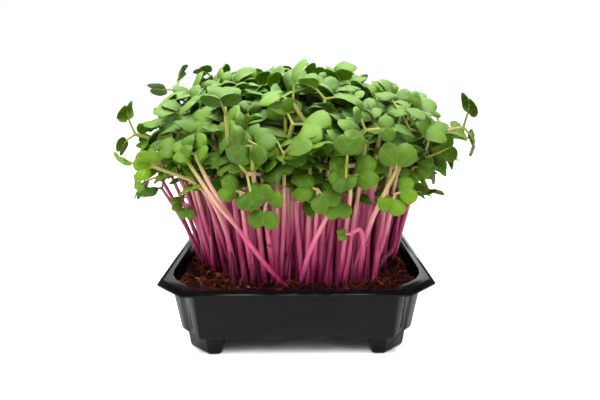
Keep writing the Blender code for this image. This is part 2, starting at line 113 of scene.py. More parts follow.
def feed(shader, socket, source):
    shader.id_data.links.new(source, shader.inputs[socket])


def mix_colours(tree, share, ground, over, blend="MIX"):
    """One colour laid over another by a share from 0 to 1."""
    inputs = {0: share, 6: ground, 7: over}
    return add_node(tree, "ShaderNodeMix", inputs, data_type="RGBA", blend_type=blend).outputs[2]


def remap(tree, value, given, wanted=(0.0, 1.0), **settings):
    """A value carried from the range it is given in to the range that is wanted."""
    ends = {"From Min": given[0], "From Max": given[1], "To Min": wanted[0], "To Max": wanted[1]}
    return add_node(tree, "ShaderNodeMapRange", {"Value": value, **ends}, **settings).outputs["Result"]


def reckon(tree, operation, *values):
    return add_node(tree, "ShaderNodeMath", dict(enumerate(values)), operation=operation).outputs["Value"]


def make_mottle():
    """Shared effect: patches and specks of a second colour, with a matching height."""
    group = bpy.data.node_groups.new("mottle", "ShaderNodeTree")
    for label, kind, value in (
        ("Ground", "NodeSocketColor", (0.5, 0.5, 0.5, 1)),
        ("Patch", "NodeSocketColor", (0.2, 0.2, 0.2, 1)),
        ("Scale", "NodeSocketFloat", 200.0),
        ("Amount", "NodeSocketFloat", 0.5),
    ):
        socket = group.interface.new_socket(label, in_out="INPUT", socket_type=kind)
        socket.default_value = value
    group.interface.new_socket("Color", in_out="OUTPUT", socket_type="NodeSocketColor")
    group.interface.new_socket("Height", in_out="OUTPUT", socket_type="NodeSocketFloat")
    entry = group.nodes.new("NodeGroupInput")
    leave = group.nodes.new("NodeGroupOutput")
    place = group.nodes.new("ShaderNodeTexCoord")
    grain = add_node(group, "ShaderNodeTexNoise", {
        "Vector": place.outputs["Object"],
        "Scale": entry.outputs["Scale"],
        "Detail": 5.0,
        "Roughness": 0.65,
    })
    mask = remap(group, grain.outputs["Fac"], (0.38, 0.66), (0.0, entry.outputs["Amount"]))
    colour = mix_colours(group, mask, entry.outputs["Ground"], entry.outputs["Patch"])
    group.links.new(colour, leave.inputs["Color"])
    group.links.new(grain.outputs["Fac"], leave.inputs["Height"])
    return group


mottle = make_mottle()


def mottled(material, **values):
    """Places the shared effect in a material, with that material's own values."""
    node = material.node_tree.nodes.new("ShaderNodeGroup")
    node.node_tree = mottle
    for socket, value in values.items():
        node.inputs[socket].default_value = value
    return node


def bump_from(shader, height, strength, distance):
    relief = {"Strength": strength, "Distance": distance, "Height": height}
    feed(shader, "Normal", add_node(shader.id_data, "ShaderNodeBump", relief).outputs["Normal"])


plastic, shader = finish("tray_plastic", Roughness=0.2, Specular_IOR_Level=0.12)
dust = mottled(plastic, Ground=TRAY_BLACK, Patch=TRAY_DUST, Scale=500.0, Amount=0.12)
feed(shader, "Base Color", dust.outputs["Color"])
feed(shader, "Roughness", remap(plastic.node_tree, dust.outputs["Height"], (0.0, 1.0), TRAY_ROUGHNESS))
bump_from(shader, dust.outputs["Height"], strength=0.02, distance=0.0002)

tray = new_piece("tray_shell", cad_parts["tray"].data.copy())
select_only(tray)
bpy.ops.object.mode_set(mode="EDIT")
bpy.ops.mesh.select_all(action="SELECT")
bpy.ops.mesh.remove_doubles(threshold=TRAY_MERGE)
bpy.ops.mesh.dissolve_limited(angle_limit=TRAY_FLAT_ANGLE)
bpy.ops.object.mode_set(mode="OBJECT")
easing = tray.modifiers.new("easing", "BEVEL")
easing.width = TRAY_CHAMFER
easing.segments = 1
easing.limit_method = "ANGLE"
easing.angle_limit = TRAY_SHARP_ANGLE
apply_modifiers(tray)
bpy.ops.object.shade_smooth_by_angle(angle=TRAY_SMOOTH_ANGLE)
tray.data.materials.clear()
tray.data.materials.append(plastic)
settle(tray, "tray")

# The growing medium is damp coir, pressed into the tray and settled a little below the land. Its top is
# lumps and hollows of short brown fibres, with loose fibres lying over it. At its edge it stands about 2 mm
# higher than the solid's.

COIR_INSET = 0.0010
COIR_STEP = 0.0011
COIR_SKIRT = 0.003
COIR_EDGE_TOP = 0.0284
COIR_MIDDLE_TOP = 0.0288
COIR_CUT = Vector((0.0112, 0.0155, 0))
COIR_LUMP = 0.0030
COIR_LUMP_PITCH = 95
COIR_CLOD_PITCH = 260
COIR_CRUMB_PITCH = 700
COIR_HOLLOW_PITCH = 62
COIR_DARK = (0.0045, 0.0010, 0.0006, 1)
COIR_BROWN = (0.024, 0.0036, 0.0010, 1)
FIBRE_DARK = (0.006, 0.0008, 0.0003, 1)
FIBRE_BROWN = (0.048, 0.0078, 0.0026, 1)
FIBRE_LIGHT = (0.26, 0.064, 0.026, 1)
FIBRES = 3200
FIBRE_STEPS = 8
FIBRE_SIDES = 4
FIBRE_LENGTH = (0.005, 0.017)
FIBRE_LIFT = (0.0004, 0.0045)
FIBRE_THIN = 0.00012
FIBRE_THICKER_BY = 0.00034

coir_low, coir_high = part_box("growing_medium")
coir_half = Vector(((coir_high.x - coir_low.x) / 2, (coir_high.y - coir_low.y) / 2, 0))


def coir_share(x, y):
    """0 in the middle of the coir and 1 at its edge, a rectangle with its corners cut off."""
    side = max(abs(x) / coir_half.x, abs(y) / coir_half.y)
    over_x = (abs(x) - coir_half.x + COIR_CUT.x) / COIR_CUT.x
    over_y = (abs(y) - coir_half.y + COIR_CUT.y) / COIR_CUT.y
    if over_x + over_y > 1:
        slack = (over_x + over_y - 1) * COIR_CUT.x * 0.8
        side = max(side, 1 + slack / coir_half.x)
    return side


def coir_height(x, y):
    """Height of the coir's top, with broad lumps, clods, crumbs, and hollows that end short of its edge."""
    share = min(1.0, coir_share(x, y))
    level = COIR_EDGE_TOP + (COIR_MIDDLE_TOP - COIR_EDGE_TOP) * min(1.0, (1 - share) / 0.2)
    place = Vector((x, y, 0.37))
    lumps = noise.fractal(place * COIR_LUMP_PITCH, 0.9, 2.1, 5)
    clods = noise.noise(place * COIR_CLOD_PITCH + Vector((7, 3, 1)))
    crumbs = noise.noise(place * COIR_CRUMB_PITCH)
    dip = noise.noise(place * COIR_HOLLOW_PITCH + Vector((2.6, 9.1, 4))) - 0.12
    hollow = max(0.0, dip) * min(1.0, (1 - share) / 0.12)
    return level + COIR_LUMP * (0.7 * lumps + 0.5 * clods + 0.3 * crumbs - 2.6 * hollow)


coir_material, shader = finish("coir_damp", Roughness=0.8, Specular_IOR_Level=0.08)
soil = mottled(coir_material, Ground=COIR_BROWN, Patch=COIR_DARK, Scale=420.0, Amount=1.0)
feed(shader, "Base Color", soil.outputs["Color"])
bump_from(shader, soil.outputs["Height"], strength=0.9, distance=0.0008)

columns = round(2 * coir_half.x / COIR_STEP)
rows = round(2 * coir_half.y / COIR_STEP)
bpy.ops.object.select_all(action="DESELECT")
bpy.ops.mesh.primitive_grid_add(x_subdivisions=columns, y_subdivisions=rows, size=1)
coir = bpy.context.object
coir.name = "coir"
for vert in coir.data.vertices:
    x = vert.co.x * 2 * (coir_half.x - COIR_INSET)
    y = vert.co.y * 2 * (coir_half.y - COIR_INSET)
    share = coir_share(x, y)
    pull = 1 / share if share > 1 else 1.0
    vert.co = (x * pull, y * pull, coir_height(x * pull, y * pull))
bpy.ops.object.mode_set(mode="EDIT")
bpy.ops.mesh.select_all(action="DESELECT")
bpy.ops.mesh.select_non_manifold(extend=False)
bpy.ops.mesh.extrude_region_move(TRANSFORM_OT_translate={"value": (0, 0, -COIR_SKIRT)})
bpy.ops.mesh.edge_face_add()
bpy.ops.mesh.select_all(action="SELECT")
bpy.ops.mesh.normals_make_consistent(inside=False)
bpy.ops.object.mode_set(mode="OBJECT")
bpy.ops.object.shade_smooth()
coir.data.materials.append(coir_material)
settle(coir, "growing_medium")


def strands(name, paths, radii, tones, sides, material):
    """Many thin round strands as one piece: a bevelled curve made a mesh. Each keeps its own tone."""
    curve = bpy.data.curves.new(name, "CURVE")
    curve.dimensions = "3D"
    curve.bevel_depth = 1.0
    curve.bevel_resolution = (sides - 4) // 2
    curve.use_fill_caps = True
    for path, radius in zip(paths, radii):
        spline = curve.splines.new("POLY")
        spline.points.add(len(path) - 1)
        for point, place, thickness in zip(spline.points, path, radius):
            point.co = (*place, 1)
            point.radius = thickness
    piece = new_piece(name, curve)
    select_only(piece)
    bpy.ops.object.convert(target="MESH")
    piece = bpy.context.object
    tone = piece.data.attributes.new("tone", "FLOAT", "POINT")
    values = [value for path, value in zip(paths, tones) for _ in range(len(path) * sides)]
    caps = len(piece.data.vertices) - len(values)
    tone.data.foreach_set("value", [0.5] * caps + values)
    piece.data.materials.append(material)
    return piece


def tone_of(tree):
    """The tone from 0 to 1 that every strand and leaf of a piece has of its own; for the crowd's leaves it is
    also darker the lower they stand, which is painted shade.
    """
    return add_node(tree, "ShaderNodeAttribute", attribute_name="tone").outputs["Fac"]


def colour_ramp(tree, source, stops):
    ramp = add_node(tree, "ShaderNodeValToRGB", {"Fac": source})
    while len(ramp.color_ramp.elements) < len(stops):
        ramp.color_ramp.elements.new(0.5)
    for element, (position, colour) in zip(ramp.color_ramp.elements, stops):
        element.position = position
        element.color = colour
    return ramp.outputs["Color"]


fibre_material, shader = finish("coir_fibre", Roughness=0.6, Specular_IOR_Level=0.12)
tree = fibre_material.node_tree
stops = ((0.0, FIBRE_DARK), (0.7, FIBRE_BROWN), (1.0, FIBRE_LIGHT))
feed(shader, "Base Color", colour_ramp(tree, tone_of(tree), stops))

rng = random.Random(5)
paths, radii, tones = [], [], []
while len(paths) < FIBRES:
    x = rng.uniform(-1, 1) * coir_half.x * 0.97
    y = rng.uniform(-1, 1) * coir_half.y * 0.97
    if coir_share(x, y) > 0.97:
        continue
    heading = rng.uniform(0, math.tau)
    turning = rng.uniform(-2.6, 2.6)
    curl = rng.uniform(0.0, 0.9)
    phase = rng.uniform(0, math.tau)
    length = rng.uniform(*FIBRE_LENGTH)
    lift = rng.uniform(*FIBRE_LIFT) * rng.random()
    path = []
    for i in range(FIBRE_STEPS):
        t = i / (FIBRE_STEPS - 1)
        angle = heading + turning * t + curl * math.sin(9 * t + phase)
        x += math.cos(angle) * length / FIBRE_STEPS
        y += math.sin(angle) * length / FIBRE_STEPS
        if coir_share(x, y) > 0.985:
            break
        path.append(Vector((x, y, coir_height(x, y) - 0.0002 + lift * math.sin(math.pi * t))))
    if len(path) < 3:
        continue
    thickness = FIBRE_THIN + FIBRE_THICKER_BY * rng.random() ** 3
    paths.append(path)
    radii.append([thickness * (1 - 0.5 * i / FIBRE_STEPS) for i in range(len(path))])
    tones.append(rng.random())
fibres = strands("coir_fibres", paths, radii, tones, FIBRE_SIDES, fibre_material)
settle(fibres)

# The stand: seedlings grow in tufts out of the coir. Each has a pink stem that pales towards its head and two
# notched seed leaves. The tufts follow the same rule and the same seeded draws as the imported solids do, so
# that each finer seedling stands where its solid does.

COIR_TOP = COIR_MIDDLE_TOP
HOLE_DEPTH = 0.0090
GAP = 0.0003
SOWN_HALF = (0.0500, 0.0500)
SOWN_POWER = 1.6
TUFTS = 24
STEMS_IN_TUFT = 3
STEM_RADIUS_FOOT = 0.00140
STEM_RADIUS_WAIST = 0.00115
STEM_RADIUS_HEAD = 0.00090
TUFT_SPREAD_FOOT = 0.0010
TUFT_SPREAD_MIDDLE = 0.0019
TUFT_SPREAD_WAIST = 0.00085
TUFT_TURN = math.radians(35)
WAIST_SHARE = 0.58
WAIST_GAP = 0.0005
HEAD_SPREAD = 0.0105
FLARE = (1.38, 1.24)
CROWN_TOP = 0.1060
CROWN_FALL = 0.0070
CROWN_SCATTER = 0.0250
CROWN_TILT = 0.09
LEAF_WIDTH = 0.0150
LEAF_THICK = 0.0007
PETIOLE_LENGTH = 0.0068
PETIOLE_HALF = 0.00060
LEAF_MIDDLE = 0.26
NOTCH_DEPTH = 0.13
NOTCH_WIDTH = 0.36
LEAF_ANGLES = tuple(math.radians(degrees) for degrees in (30, 72, 122))
LEAF_SIDES = 10
LEAF_RISE = (8, 58)
LEAF_SAG = (-0.1, 0.6)
LEAF_DROOP = (0.0, 0.7)
LEAF_FOLD = (-0.30, 0.35)
LEAF_ROLL = (-30, 30)
LEAF_SWING = (-18, 18)
PETIOLE_SHARES = (0.75, 1.2)
LEAF_WIDTH_SHARES = (0.76, 1.12)
CLEARANCE = 0.0006
TRIES = 480
STAND_HALF = (0.0840, 0.0740)
STAND_TOP = 0.1225
OUTWARD_LEAN = 0.25
LEADERS = (
    (0.0735, -0.016, 0.0960, 15),
    (0.0620, 0.002, 0.0860, 60),
    (-0.0735, -0.002, 0.0900, 165),
    (-0.0600, -0.014, 0.0840, 150),
    (-0.0620, 0.012, 0.1050, 20),
    (-0.0500, -0.034, 0.0800, 160),
    (0.0180, 0.004, 0.1165, 5),
    (-0.0480, 0.014, 0.1080, 35),
    (0.0500, -0.028, 0.0770, 80),
    (0.0280, -0.0540, 0.0780, 95),
    (-0.0200, -0.0560, 0.0780, 30),
    (-0.0200, -0.0540, 0.0900, 170),
    (0.0280, -0.0560, 0.0900, 5),
    (-0.0290, 0.0540, 0.0920, 80),
    (0.0120, 0.0570, 0.0850, 100),
)
SEED = 11


def sown_radius(x, y):
    """0 in the middle of the sown area and 1 on its edge, which is a rounded diamond."""
    share = (abs(x) / SOWN_HALF[0]) ** SOWN_POWER + (abs(y) / SOWN_HALF[1]) ** SOWN_POWER
    return share ** (1 / SOWN_POWER)


def golden_direction(i):
    """The direction that is i golden angles round."""
    turn = i * math.pi * (3 - math.sqrt(5))
    return math.cos(turn), math.sin(turn)


def spread_feet(count):
    """Evenly spread feet: each is a golden angle on from the last, and further out."""
    feet = []
    for i in range(count):
        x, y = golden_direction(i)
        reach = math.sqrt((i + 0.5) / count) * 0.96 / sown_radius(x, y)
        feet.append(Vector((x * reach, y * reach, 0)))
    return feet


def crown_height(foot, rng):
    """Height of a seedling's head: a dome, ragged towards its edge."""
    out = sown_radius(foot.x, foot.y)
    top = CROWN_TOP - CROWN_TILT * max(0.0, foot.x)
    return top - CROWN_FALL * out**3 - CROWN_SCATTER * out**2 * rng.random()


def unit(angle):
    return Vector((math.cos(angle), math.sin(angle), 0))


def scatter(rng, directions):
    """A random step of up to 1 each way, in the plane or in all three directions."""
    return Vector([rng.uniform(-1, 1) for _ in range(directions)] + [0.0] * (3 - directions))


def flared(foot):
    """The place over a foot where its seedling's crown is, since the stand opens towards its top."""
    return Vector((foot.x * FLARE[0], foot.y * FLARE[1], 0))


def outward(head):
    return Vector((head.x / STAND_HALF[0], head.y / STAND_HALF[1], 0))


def bezier(a, b, c, t):
    return a * (1 - t) ** 2 + b * 2 * t * (1 - t) + c * t**2


class Shape:
    """The middle surface of a leaf or the axis of a stem, with what it needs to be kept clear of others."""

    def __init__(self, points, faces, half, node):
        self.tree = BVHTree.FromPolygons(points, faces)
        self.half = half
        self.node = node
        self.samples = list(points)
        for face in faces:
            corners = [points[i] for i in face]
            self.samples.append(sum(corners, Vector()) / len(corners))
            self.samples += [(corners[i] + corners[i - 1]) / 2 for i in range(len(corners))]
        self.middle = sum(points, Vector()) / len(points)
        self.reach = max((point - self.middle).length for point in points) + half

    def clear_of(self, other):
        room = self.half + other.half + CLEARANCE
        if (self.middle - other.middle).length > self.reach + other.reach + room:
            return True
        if self.tree.overlap(other.tree):
            return False
        for one, two in ((self, other), (other, self)):
            if any(two.tree.find_nearest(point, room)[0] for point in one.samples):
                return False
        return True


def stem_shape(path, radius, node):
    """A stem as a thin three-sided sleeve round its axis, sampled closely along it."""
    fine = []
    for a, b in zip(path, path[1:]):
        steps = max(1, math.ceil((b - a).length / 0.003))
        fine += [a.lerp(b, i / steps) for i in range(steps)]
    fine.append(path[-1])
    ring = [unit(angle) * 0.0001 for angle in (0, 2.1, 4.2)]
    points = [point + offset for point in fine for offset in ring]
    faces = []
    for i in range(len(fine) - 1):
        for j in range(3):
            k = (j + 1) % 3
            faces.append((3 * i + j, 3 * i + k, 3 * i + 3 + k, 3 * i + 3 + j))
    return Shape(points, faces, radius, node)


@dataclass
class Leaf:
    """One seed leaf: its size, how it sags, droops and folds, and where it is placed."""

    width: float
    petiole: float
    sag: float
    droop: float
    fold: float
    place: Matrix

    def level(self, x, y):
        """Height of the blade over a point of its flat outline."""
        past = max(0.0, x - self.petiole) / self.width
        rise = self.fold * abs(y / self.width) * min(1.0, 4 * past)
        return (rise - self.sag * past - self.droop * past**2) * self.width

    def coarse(self):
        """Middle point and outline, as in the solids."""
        centre = Vector((self.petiole + LEAF_MIDDLE * self.width, 0, 0))
        side = [centre + outline_at(angle) * self.width for angle in (0.0,) + LEAF_ANGLES]
        side.append(Vector((self.petiole, PETIOLE_HALF * 1.3, 0)))
        foot = Vector((-0.4 * PETIOLE_HALF, 0, 0))
        points = [centre] + side + [foot] + [Vector((p.x, -p.y, 0)) for p in side[:0:-1]]
        for point in points:
            point.z = self.level(point.x, point.y)
        return [self.place @ point for point in points]


def outline_at(angle):
    """A point of the leaf's outline from its middle, for a leaf of width 1: a kidney with a notched tip."""
    out = 0.42 - 0.10 * math.cos(2 * angle) - NOTCH_DEPTH * math.exp(-((angle / NOTCH_WIDTH) ** 2))
    return unit(angle) * out


def leaf_pair(head, up, heading, rng, width):
    """The two opposite leaves of a seedling; the stem's head points up."""
    pair = []
    lean = Vector((0, 0, 1)).rotation_difference(up).to_matrix().to_4x4()
    for side in (0, math.pi):
        rise = math.radians(rng.uniform(*LEAF_RISE))
        sag = rng.uniform(*LEAF_SAG)
        droop = rng.uniform(*LEAF_DROOP)
        fold = rng.uniform(*LEAF_FOLD)
        roll = math.radians(rng.uniform(*LEAF_ROLL))
        turn = heading + side + math.radians(rng.uniform(*LEAF_SWING))
        petiole = PETIOLE_LENGTH * rng.uniform(*PETIOLE_SHARES)
        size = width * rng.uniform(*LEAF_WIDTH_SHARES)
        spin = Matrix.Rotation(turn, 4, "Z") @ Matrix.Rotation(-rise, 4, "Y") @ Matrix.Rotation(roll, 4, "X")
        pair.append(Leaf(size, petiole, sag, droop, fold, Matrix.Translation(head) @ lean @ spin))
    return pair


class Tuft:
    """A few seedlings whose stems stand in one hole, touch at the waist and part above it."""

    def __init__(self, number, foot, rng):
        self.number = number
        self.foot = foot
        self.turn = rng.uniform(0, math.tau)
        self.crown = flared(foot) + scatter(rng, 2) * 0.002
        self.crown.z = crown_height(foot, rng)
        self.heads = []
        for k in range(STEMS_IN_TUFT):
            spread = unit(self.turn + TUFT_TURN + k * math.tau / STEMS_IN_TUFT) * HEAD_SPREAD
            self.heads.append(self.crown + spread + Vector((0, 0, rng.uniform(-0.006, 0.005))))
        self.leaders = {}

    def axis(self, t):
        """The line that the tuft's stems grow along, from the coir at 0 to the crown at 1."""
        rise = self.crown.z - COIR_TOP
        start = Vector((self.foot.x, self.foot.y, COIR_TOP + 0.002))
        bend = start.lerp(self.crown, 0.22)
        bend.z = start.z + 0.5 * rise
        return bezier(start, bend, self.crown, t)

    def waist(self, k):
        """Where stem k changes from pink to green, and its direction there."""
        ahead = (self.axis(WAIST_SHARE + 0.02) - self.axis(WAIST_SHARE - 0.02)).normalized()
        out = unit(self.turn + TUFT_TURN + k * math.tau / STEMS_IN_TUFT) * TUFT_SPREAD_WAIST
        out -= ahead * out.dot(ahead)
        return self.axis(WAIST_SHARE) + out, ahead

    def lower_path(self, k):
        """Axis of stem k from the bottom of its hole up to the waist."""
        root = Vector((self.foot.x, self.foot.y, COIR_TOP - HOLE_DEPTH + GAP))
        stations = (
            (root, TUFT_SPREAD_FOOT, 0.0),
            (self.axis(0.06), TUFT_SPREAD_FOOT * 1.3, 0.1),
            (self.axis(0.3), TUFT_SPREAD_MIDDLE, 0.6),
        )
        path = []
        for middle, spread, turned in stations:
            angle = self.turn + TUFT_TURN * turned + k * math.tau / STEMS_IN_TUFT
            path.append(middle + unit(angle) * spread)
        waist, ahead = self.waist(k)
        path.append(waist - ahead * (WAIST_GAP / 2 + 0.003))
        path.append(waist - ahead * WAIST_GAP / 2)
        return path

    def upper_path(self, k, head):
        """Axis of stem k from the waist to its head."""
        waist, ahead = self.waist(k)
        start = waist + ahead * WAIST_GAP / 2
        bend = start + ahead * (head - start).length * 0.5
        return [start, start + ahead * 0.003] + [bezier(start, bend, head, t) for t in (0.55, 1.0)]


def assign_leaders(tufts):
    """Each leading seedling takes the place of the free stem whose head is nearest."""
    for x, y, z, heading in LEADERS:
        head = Vector((x, y, z))
        free = [(t, k) for t in tufts for k in range(STEMS_IN_TUFT) if k not in t.leaders]
        tuft, k = min(free, key=lambda pair: (pair[0].heads[pair[1]] - head).length)
        tuft.leaders[k] = (head, math.radians(heading))


def stand_reach(pair):
    """How near the pair of leaves comes to the edge of the stand's box, which is at 1."""
    points = [point for leaf in pair for point in leaf.coarse()]
    half_x, half_y = STAND_HALF
    return max(max(abs(p.x) / half_x, abs(p.y) / half_y, p.z / STAND_TOP) for p in points)


def candidate(tuft, k, attempt, rng):
    """One way for seedling k of the tuft to grow above its waist. Later tries stray further."""
    share = attempt / TRIES
    stray = scatter(rng, 3)
    if k in tuft.leaders:
        head, heading = tuft.leaders[k]
        head = head + stray * (0.001 + 0.010 * share)
        heading += math.radians(rng.uniform(-1, 1)) * 90 * share
    else:
        head = tuft.heads[k] + stray * (0.005 + 0.009 * share)
        heading = rng.uniform(0, math.tau)
    path = tuft.upper_path(k, head)
    up = (path[-1] - path[-2]).normalized() + outward(head) * OUTWARD_LEAN
    width = LEAF_WIDTH * (1 - 0.35 * max(0.0, share - 0.3))
    return path, leaf_pair(head, up, heading, rng, width)


def grow_seedlings(tufts, rng):
    """Chooses how every seedling grows, the leading ones first, so that they stay clear of one another."""
    fan = [(0, 1 + i, 1 + (i + 1) % LEAF_SIDES) for i in range(LEAF_SIDES)]
    order = [(tuft, k) for tuft in tufts for k in range(STEMS_IN_TUFT)]
    placed = [stem_shape(tuft.lower_path(k), STEM_RADIUS_FOOT, tuft.number) for tuft, k in order]
    chosen = {}
    order.sort(key=lambda pair: pair[1] not in pair[0].leaders)
    for tuft, k in order:
        best = 0.0
        for attempt in range(TRIES):
            path, pair = candidate(tuft, k, attempt, rng)
            reach = stand_reach(pair)
            if reach > 1 or reach < best:
                continue
            leaves = [Shape(leaf.coarse(), fan, LEAF_THICK / 2, tuft.number) for leaf in pair]
            stem = stem_shape(path, STEM_RADIUS_WAIST, tuft.number)
            others = [shape for shape in placed if shape.node != tuft.number]
            if not all(stem.clear_of(other) for other in others):
                continue
            if not all(leaf.clear_of(other) for leaf in leaves for other in placed):
                continue
            best = reach
            chosen[tuft.number, k] = (path, pair)
            shapes = leaves + [stem]
            if k not in tuft.leaders:
                break
        placed += shapes
    return chosen


rng = random.Random(SEED)
tufts = [Tuft(number, foot, rng) for number, foot in enumerate(spread_feet(TUFTS))]
assign_leaders(tufts)
chosen = grow_seedlings(tufts, rng)

# Stems and stalks: juicy, round and faintly streaked along their length. They are deep magenta at the foot,
# painted almost black right at the bottom as painted shade among the crowded stems, mid pink above, and pale
# to cream and green at the head.

STEM_SIDES = 6
# Nearly black at the very foot: painted shade where the crowded stems shade one another, over their deep
# magenta.
STEM_FOOT_SHADE = (0.060, 0.0003, 0.013, 1)
STEM_MAGENTA = (0.27, 0.006, 0.075, 1)
STEM_PINK = (0.54, 0.090, 0.195, 1)
STEM_PALE = (0.66, 0.34, 0.27, 1)
STEM_GREEN = (0.30, 0.35, 0.050, 1)
STEM_STREAK = (0.66, 0.25, 0.40, 1)
STEM_COLOUR_HEIGHTS = (0.030, 0.118)
STEM_TONE_SHIFT = 0.022

stem_material, shader = finish(
    "stem_skin", Roughness=0.36, Specular_IOR_Level=0.22, Subsurface_Weight=0.2, Subsurface_Scale=0.0015,
    Subsurface_Radius=(1.0, 0.35, 0.5),
)
tree = stem_material.node_tree
place = add_node(tree, "ShaderNodeTexCoord")
axes = add_node(tree, "ShaderNodeSeparateXYZ", {"Vector": place.outputs["Object"]})
shift = reckon(tree, "MULTIPLY_ADD", tone_of(tree), STEM_TONE_SHIFT, axes.outputs["Z"])
# The ramp starts with painted shade at the foot, then runs through the stems' own magenta, pink, pale and
# green.
grown = colour_ramp(tree, remap(tree, shift, STEM_COLOUR_HEIGHTS), (
    (0.05, STEM_FOOT_SHADE), (0.24, STEM_MAGENTA), (0.38, STEM_PINK), (0.46, STEM_PINK), (0.62, STEM_PALE),
    (0.80, STEM_GREEN),
))
stretch = add_node(tree, "ShaderNodeMapping", {"Vector": place.outputs["Object"], "Scale": (900, 900, 30)})
grain = {"Vector": stretch.outputs["Vector"], "Scale": 1.0, "Detail": 3.0}
streaks = add_node(tree, "ShaderNodeTexNoise", grain).outputs["Fac"]
faint = remap(tree, streaks, (0.45, 0.8), (0.0, 0.3))
feed(shader, "Base Color", mix_colours(tree, faint, grown, STEM_STREAK))
bump_from(shader, streaks, strength=0.15, distance=0.0002)


def smooth_path(path, count):
    """The same line through the same points, with count points between each two."""
    padded = [path[0] * 2 - path[1]] + list(path) + [path[-1] * 2 - path[-2]]
    fine = []
    for i in range(1, len(padded) - 2):
        p, q, r, s = padded[i - 1:i + 3]
        for j in range(count):
            t = j / count
            curve = 2 * q + (r - p) * t + (2 * p - 5 * q + 4 * r - s) * t**2
            fine.append((curve + (3 * q - p - 3 * r + s) * t**3) / 2)
    fine.append(path[-1])
    return fine


def tapered(first, last, count):
    return [first + (last - first) * i / (count - 1) for i in range(count)]

# Seed leaves: thin, soft blades, broad and notched at the tip, on a pale stalk, with faint veins. The
# upward-facing sides of the higher blades are painted paler and bluish, a painted sheen. One blade is
# modelled, and each leaf is a copy of it, bent its own way.

BLADE_SIDES = 20
BLADE_FOOT = 2.2
BLADE_THICK = 0.00055
LEAF_DEEP = (0.044, 0.104, 0.003, 1)
LEAF_MID = (0.090, 0.180, 0.005, 1)
LEAF_BRIGHT = (0.152, 0.288, 0.006, 1)
# A pale bluish colour laid on the upward-facing sides of the higher blades: a painted sheen.
LEAF_PAINTED_SHEEN = (0.275, 0.450, 0.150, 1)
LEAF_VEIN = (0.240, 0.440, 0.110, 1)
LEAF_CELLS = (0.72, 0.78, 0.70, 1)
VEIN_SLANT = -0.9
VEIN_PITCH = 0.17
VEIN_EDGES = (0.002, 0.016)
PAINTED_SHEEN_HEIGHTS = (0.084, 0.106)
BLADE_RUFFLE = 0.0006
BLADE_DOME = (0.05, 0.19)
BLADE_MIDRIB = 0.07
BLADE_SMOOTH_ANGLE = math.radians(50)
STALK_SIDES = 4

leaf_material, shader = finish(
    "leaf_blade", Roughness=0.5, Specular_IOR_Level=0.2, Subsurface_Weight=0.15, Subsurface_Scale=0.0012,
    Subsurface_Radius=(0.35, 1.0, 0.15),
    Sheen_Weight=0.05, Sheen_Roughness=0.4, Sheen_Tint=(0.6, 0.85, 0.7, 1),
)
tree = leaf_material.node_tree
# The deep end of the ramp comes from a leaf's random tone and, in the crowd, from standing low: partly
# painted shade.
stops = ((0.0, LEAF_DEEP), (0.6, LEAF_MID), (1.0, LEAF_BRIGHT))
shade = colour_ramp(tree, tone_of(tree), stops)
cells = mottled(leaf_material, Ground=(1, 1, 1, 1), Patch=LEAF_CELLS, Scale=160.0, Amount=0.8)
tinted = mix_colours(tree, 1.0, shade, cells.outputs["Color"], blend="MULTIPLY")
outline = add_node(tree, "ShaderNodeUVMap", uv_map="blade")
across = add_node(tree, "ShaderNodeSeparateXYZ", {"Vector": outline.outputs["UV"]})
side = reckon(tree, "ABSOLUTE", across.outputs["Y"])
slant = reckon(tree, "MULTIPLY_ADD", side, VEIN_SLANT, across.outputs["X"])
rib = reckon(tree, "MINIMUM", reckon(tree, "PINGPONG", slant, VEIN_PITCH), side)
vein = remap(tree, rib, VEIN_EDGES, (0.22, 0.0))
veined = mix_colours(tree, vein, tinted, LEAF_VEIN)
place = add_node(tree, "ShaderNodeTexCoord")
facing = add_node(tree, "ShaderNodeSeparateXYZ", {"Vector": place.outputs["Normal"]})
# Painted sheen: stronger where a blade faces up and where it stands high in the stand.
sheen_facing = remap(tree, facing.outputs["Z"], (0.1, 0.9), (0.0, 0.75))
axes = add_node(tree, "ShaderNodeSeparateXYZ", {"Vector": place.outputs["Object"]})
sheen_height = remap(tree, axes.outputs["Z"], PAINTED_SHEEN_HEIGHTS)
feed(shader, "Base Color", mix_colours(tree, reckon(tree, "MULTIPLY", sheen_facing, sheen_height), veined, LEAF_PAINTED_SHEEN))
bump_from(shader, vein, strength=0.25, distance=0.0003)


def blade_outline(angle):
    """The outline with its foot drawn in to the stalk."""
    point = outline_at(abs(angle))
    if angle < 0:
        point.y = -point.y
    foot = max(0.0, (abs(angle) - BLADE_FOOT) / (math.pi - BLADE_FOOT))
    return point.lerp(Vector((-LEAF_MIDDLE, 0, 0)), foot**2 * 0.9)


def blade_template():
    """A leaf's blade as a closed body. Each vertex has its place on a flat blade of width 1, its share of
    the way out from the middle to the margin, and the side that it is on.
    """
    bpy.ops.object.select_all(action="DESELECT")
    bpy.ops.mesh.primitive_circle_add(vertices=BLADE_SIDES, radius=1.0, fill_type="TRIFAN")
    blade = bpy.context.object
    bpy.ops.object.mode_set(mode="EDIT")
    bpy.ops.mesh.select_all(action="SELECT")
    bpy.ops.mesh.inset(thickness=0.16)
    bpy.ops.mesh.inset(thickness=0.34)
    bpy.ops.mesh.select_all(action="SELECT")
    bpy.ops.mesh.normals_make_consistent(inside=False)
    bpy.ops.object.mode_set(mode="OBJECT")
    skin = blade.modifiers.new("skin", "SOLIDIFY")
    skin.thickness = 1.0
    skin.offset = 0.0
    skin.use_rim = True
    apply_modifiers(blade)
    verts = []
    for vert in blade.data.vertices:
        share = min(1.0, math.hypot(vert.co.x, vert.co.y))
        flat = blade_outline(math.atan2(vert.co.y, vert.co.x)) * share
        verts.append((flat, share, 1.0 if vert.co.z > 0 else -1.0))
    faces = [tuple(face.vertices) for face in blade.data.polygons]
    bpy.data.objects.remove(blade)
    return verts, faces


BLADE_VERTS, BLADE_FACES = blade_template()


